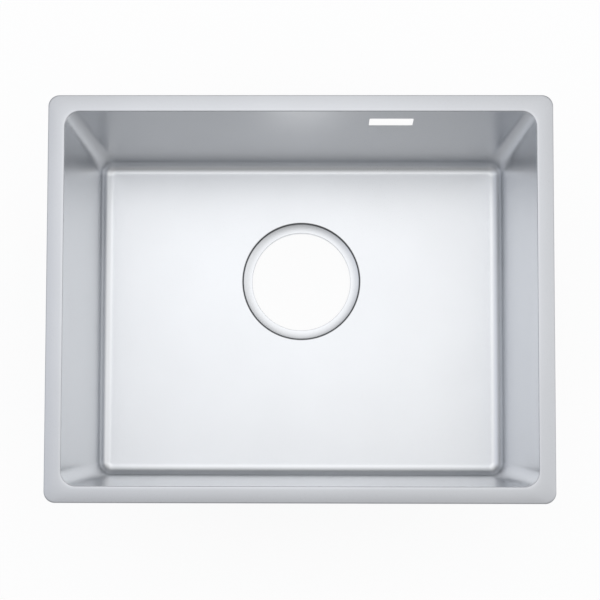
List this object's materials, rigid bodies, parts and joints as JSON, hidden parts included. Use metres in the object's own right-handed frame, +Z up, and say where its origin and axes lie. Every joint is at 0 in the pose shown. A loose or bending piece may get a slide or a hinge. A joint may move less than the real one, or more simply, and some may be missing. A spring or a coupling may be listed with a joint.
{
  "type": "kitchen sink",
  "caption": "Single-bowl rectangular stainless kitchen sink with a narrow flat rim, a rear-set round drain hole, an overflow slot and swinging screw clamps below.",
  "frame": {"origin": "centre of the rim's outline, at the height of the drain lip's lower edge, on which the sink stands when it is out of its worktop", "axes": "+X to the user's right, along the sink's length; +Y to the back; +Z up"},
  "size_m": [0.54, 0.436, 0.2],
  "materials": {
    "satin_steel": "satin brushed",
    "rim_steel": "fine brushed",
    "seal_foam": "closed-cell foam",
    "sound_pad": "matt bitumen sheet",
    "welded_steel": "mill finish, spot welded",
    "zinc_bracket": "bright zinc plate",
    "rivet_steel": "peened steel",
    "zinc_arm": "bright zinc plate",
    "toe_steel": "hardened steel",
    "zinc_screw": "bright zinc plate"
  },
  "bodies": {
    "sink": {"bowl": "satin_steel", "rim_frame": "rim_steel", "rim_seal": "seal_foam", "floor_pad_left": "sound_pad", "floor_pad_right": "sound_pad", "floor_pad_front": "sound_pad", "wall_pad_front": "sound_pad", "wall_pad_back": "sound_pad", "wall_pad_left": "sound_pad", "wall_pad_right": "sound_pad", "front_left_rail": "welded_steel", "front_right_rail": "welded_steel", "right_front_rail": "welded_steel", "right_back_rail": "welded_steel", "back_right_rail": "welded_steel", "back_left_rail": "welded_steel", "left_back_rail": "welded_steel", "left_front_rail": "welded_steel"},
    "front_left_bracket": {"front_left_bracket": "zinc_bracket", "front_left_rivet": "rivet_steel"},
    "front_left_arm": {"front_left_arm": "zinc_arm"},
    "front_left_toe": {"front_left_toe": "toe_steel"},
    "front_left_screw": {"front_left_screw": "zinc_screw"},
    "front_right_bracket": {"front_right_bracket": "zinc_bracket", "front_right_rivet": "rivet_steel"},
    "front_right_arm": {"front_right_arm": "zinc_arm"},
    "front_right_toe": {"front_right_toe": "toe_steel"},
    "front_right_screw": {"front_right_screw": "zinc_screw"},
    "right_front_bracket": {"right_front_bracket": "zinc_bracket", "right_front_rivet": "rivet_steel"},
    "right_front_arm": {"right_front_arm": "zinc_arm"},
    "right_front_toe": {"right_front_toe": "toe_steel"},
    "right_front_screw": {"right_front_screw": "zinc_screw"},
    "right_back_bracket": {"right_back_bracket": "zinc_bracket", "right_back_rivet": "rivet_steel"},
    "right_back_arm": {"right_back_arm": "zinc_arm"},
    "right_back_toe": {"right_back_toe": "toe_steel"},
    "right_back_screw": {"right_back_screw": "zinc_screw"},
    "back_right_bracket": {"back_right_bracket": "zinc_bracket", "back_right_rivet": "rivet_steel"},
    "back_right_arm": {"back_right_arm": "zinc_arm"},
    "back_right_toe": {"back_right_toe": "toe_steel"},
    "back_right_screw": {"back_right_screw": "zinc_screw"},
    "back_left_bracket": {"back_left_bracket": "zinc_bracket", "back_left_rivet": "rivet_steel"},
    "back_left_arm": {"back_left_arm": "zinc_arm"},
    "back_left_toe": {"back_left_toe": "toe_steel"},
    "back_left_screw": {"back_left_screw": "zinc_screw"},
    "left_back_bracket": {"left_back_bracket": "zinc_bracket", "left_back_rivet": "rivet_steel"},
    "left_back_arm": {"left_back_arm": "zinc_arm"},
    "left_back_toe": {"left_back_toe": "toe_steel"},
    "left_back_screw": {"left_back_screw": "zinc_screw"},
    "left_front_bracket": {"left_front_bracket": "zinc_bracket", "left_front_rivet": "rivet_steel"},
    "left_front_arm": {"left_front_arm": "zinc_arm"},
    "left_front_toe": {"left_front_toe": "toe_steel"},
    "left_front_screw": {"left_front_screw": "zinc_screw"}
  },
  "joints": [
    {"name": "front_left_slide", "type": "slide", "parent": "sink", "child": "front_left_bracket", "axis": [1, 0, 0], "range_m": [-0.016, 0.016]},
    {"name": "front_left_swing", "type": "hinge", "parent": "front_left_bracket", "child": "front_left_arm", "pos_m": [-0.18, -0.20444, 0.13838], "axis": [0, -0.0676, 0.9977], "range_deg": [0, 90]},
    {"name": "front_left_rise", "type": "slide", "parent": "front_left_arm", "child": "front_left_toe", "axis": [0, -0.0676, 0.9977], "range_m": [0, 0.024]},
    {"name": "front_left_turn", "type": "hinge", "parent": "front_left_toe", "child": "front_left_screw", "pos_m": [-0.204, -0.20452, 0.13962], "axis": [0, -0.0676, 0.9977], "range_deg": [0, 10800]},
    {"name": "front_right_slide", "type": "slide", "parent": "sink", "child": "front_right_bracket", "axis": [1, 0, 0], "range_m": [-0.016, 0.016]},
    {"name": "front_right_swing", "type": "hinge", "parent": "front_right_bracket", "child": "front_right_arm", "pos_m": [0.18, -0.20444, 0.13838], "axis": [0, -0.0676, 0.9977], "range_deg": [0, 90]},
    {"name": "front_right_rise", "type": "slide", "parent": "front_right_arm", "child": "front_right_toe", "axis": [0, -0.0676, 0.9977], "range_m": [0, 0.024]},
    {"name": "front_right_turn", "type": "hinge", "parent": "front_right_toe", "child": "front_right_screw", "pos_m": [0.156, -0.20452, 0.13962], "axis": [0, -0.0676, 0.9977], "range_deg": [0, 10800]},
    {"name": "right_front_slide", "type": "slide", "parent": "sink", "child": "right_front_bracket", "axis": [0, 1, 0], "range_m": [-0.016, 0.016]},
    {"name": "right_front_swing", "type": "hinge", "parent": "right_front_bracket", "child": "right_front_arm", "pos_m": [0.25644, -0.11, 0.13838], "axis": [0.0676, 0, 0.9977], "range_deg": [0, 90]},
    {"name": "right_front_rise", "type": "slide", "parent": "right_front_arm", "child": "right_front_toe", "axis": [0.0676, 0, 0.9977], "range_m": [0, 0.024]},
    {"name": "right_front_turn", "type": "hinge", "parent": "right_front_toe", "child": "right_front_screw", "pos_m": [0.25652, -0.134, 0.13962], "axis": [0.0676, 0, 0.9977], "range_deg": [0, 10800]},
    {"name": "right_back_slide", "type": "slide", "parent": "sink", "child": "right_back_bracket", "axis": [0, 1, 0], "range_m": [-0.016, 0.016]},
    {"name": "right_back_swing", "type": "hinge", "parent": "right_back_bracket", "child": "right_back_arm", "pos_m": [0.25644, 0.11, 0.13838], "axis": [0.0676, 0, 0.9977], "range_deg": [0, 90]},
    {"name": "right_back_rise", "type": "slide", "parent": "right_back_arm", "child": "right_back_toe", "axis": [0.0676, 0, 0.9977], "range_m": [0, 0.024]},
    {"name": "right_back_turn", "type": "hinge", "parent": "right_back_toe", "child": "right_back_screw", "pos_m": [0.25652, 0.086, 0.13962], "axis": [0.0676, 0, 0.9977], "range_deg": [0, 10800]},
    {"name": "back_right_slide", "type": "slide", "parent": "sink", "child": "back_right_bracket", "axis": [-1, 0, 0], "range_m": [-0.016, 0.016]},
    {"name": "back_right_swing", "type": "hinge", "parent": "back_right_bracket", "child": "back_right_arm", "pos_m": [0.18, 0.20444, 0.13838], "axis": [0, 0.0676, 0.9977], "range_deg": [0, 90]},
    {"name": "back_right_rise", "type": "slide", "parent": "back_right_arm", "child": "back_right_toe", "axis": [0, 0.0676, 0.9977], "range_m": [0, 0.024]},
    {"name": "back_right_turn", "type": "hinge", "parent": "back_right_toe", "child": "back_right_screw", "pos_m": [0.204, 0.20452, 0.13962], "axis": [0, 0.0676, 0.9977], "range_deg": [0, 10800]},
    {"name": "back_left_slide", "type": "slide", "parent": "sink", "child": "back_left_bracket", "axis": [-1, 0, 0], "range_m": [-0.016, 0.016]},
    {"name": "back_left_swing", "type": "hinge", "parent": "back_left_bracket", "child": "back_left_arm", "pos_m": [-0.18, 0.20444, 0.13838], "axis": [0, 0.0676, 0.9977], "range_deg": [0, 90]},
    {"name": "back_left_rise", "type": "slide", "parent": "back_left_arm", "child": "back_left_toe", "axis": [0, 0.0676, 0.9977], "range_m": [0, 0.024]},
    {"name": "back_left_turn", "type": "hinge", "parent": "back_left_toe", "child": "back_left_screw", "pos_m": [-0.156, 0.20452, 0.13962], "axis": [0, 0.0676, 0.9977], "range_deg": [0, 10800]},
    {"name": "left_back_slide", "type": "slide", "parent": "sink", "child": "left_back_bracket", "axis": [0, -1, 0], "range_m": [-0.016, 0.016]},
    {"name": "left_back_swing", "type": "hinge", "parent": "left_back_bracket", "child": "left_back_arm", "pos_m": [-0.25644, 0.11, 0.13838], "axis": [-0.0676, 0, 0.9977], "range_deg": [0, 90]},
    {"name": "left_back_rise", "type": "slide", "parent": "left_back_arm", "child": "left_back_toe", "axis": [-0.0676, 0, 0.9977], "range_m": [0, 0.024]},
    {"name": "left_back_turn", "type": "hinge", "parent": "left_back_toe", "child": "left_back_screw", "pos_m": [-0.25652, 0.134, 0.13962], "axis": [-0.0676, 0, 0.9977], "range_deg": [0, 10800]},
    {"name": "left_front_slide", "type": "slide", "parent": "sink", "child": "left_front_bracket", "axis": [0, -1, 0], "range_m": [-0.016, 0.016]},
    {"name": "left_front_swing", "type": "hinge", "parent": "left_front_bracket", "child": "left_front_arm", "pos_m": [-0.25644, -0.11, 0.13838], "axis": [-0.0676, 0, 0.9977], "range_deg": [0, 90]},
    {"name": "left_front_rise", "type": "slide", "parent": "left_front_arm", "child": "left_front_toe", "axis": [-0.0676, 0, 0.9977], "range_m": [0, 0.024]},
    {"name": "left_front_turn", "type": "hinge", "parent": "left_front_toe", "child": "left_front_screw", "pos_m": [-0.25652, -0.086, 0.13962], "axis": [-0.0676, 0, 0.9977], "range_deg": [0, 10800]}
  ],
  "couplings": [
    {"joint": "front_left_turn", "follows": "front_left_rise", "rad_per_m": 7854},
    {"joint": "front_right_turn", "follows": "front_right_rise", "rad_per_m": 7854},
    {"joint": "right_front_turn", "follows": "right_front_rise", "rad_per_m": 7854},
    {"joint": "right_back_turn", "follows": "right_back_rise", "rad_per_m": 7854},
    {"joint": "back_right_turn", "follows": "back_right_rise", "rad_per_m": 7854},
    {"joint": "back_left_turn", "follows": "back_left_rise", "rad_per_m": 7854},
    {"joint": "left_back_turn", "follows": "left_back_rise", "rad_per_m": 7854},
    {"joint": "left_front_turn", "follows": "left_front_rise", "rad_per_m": 7854}
  ]
}
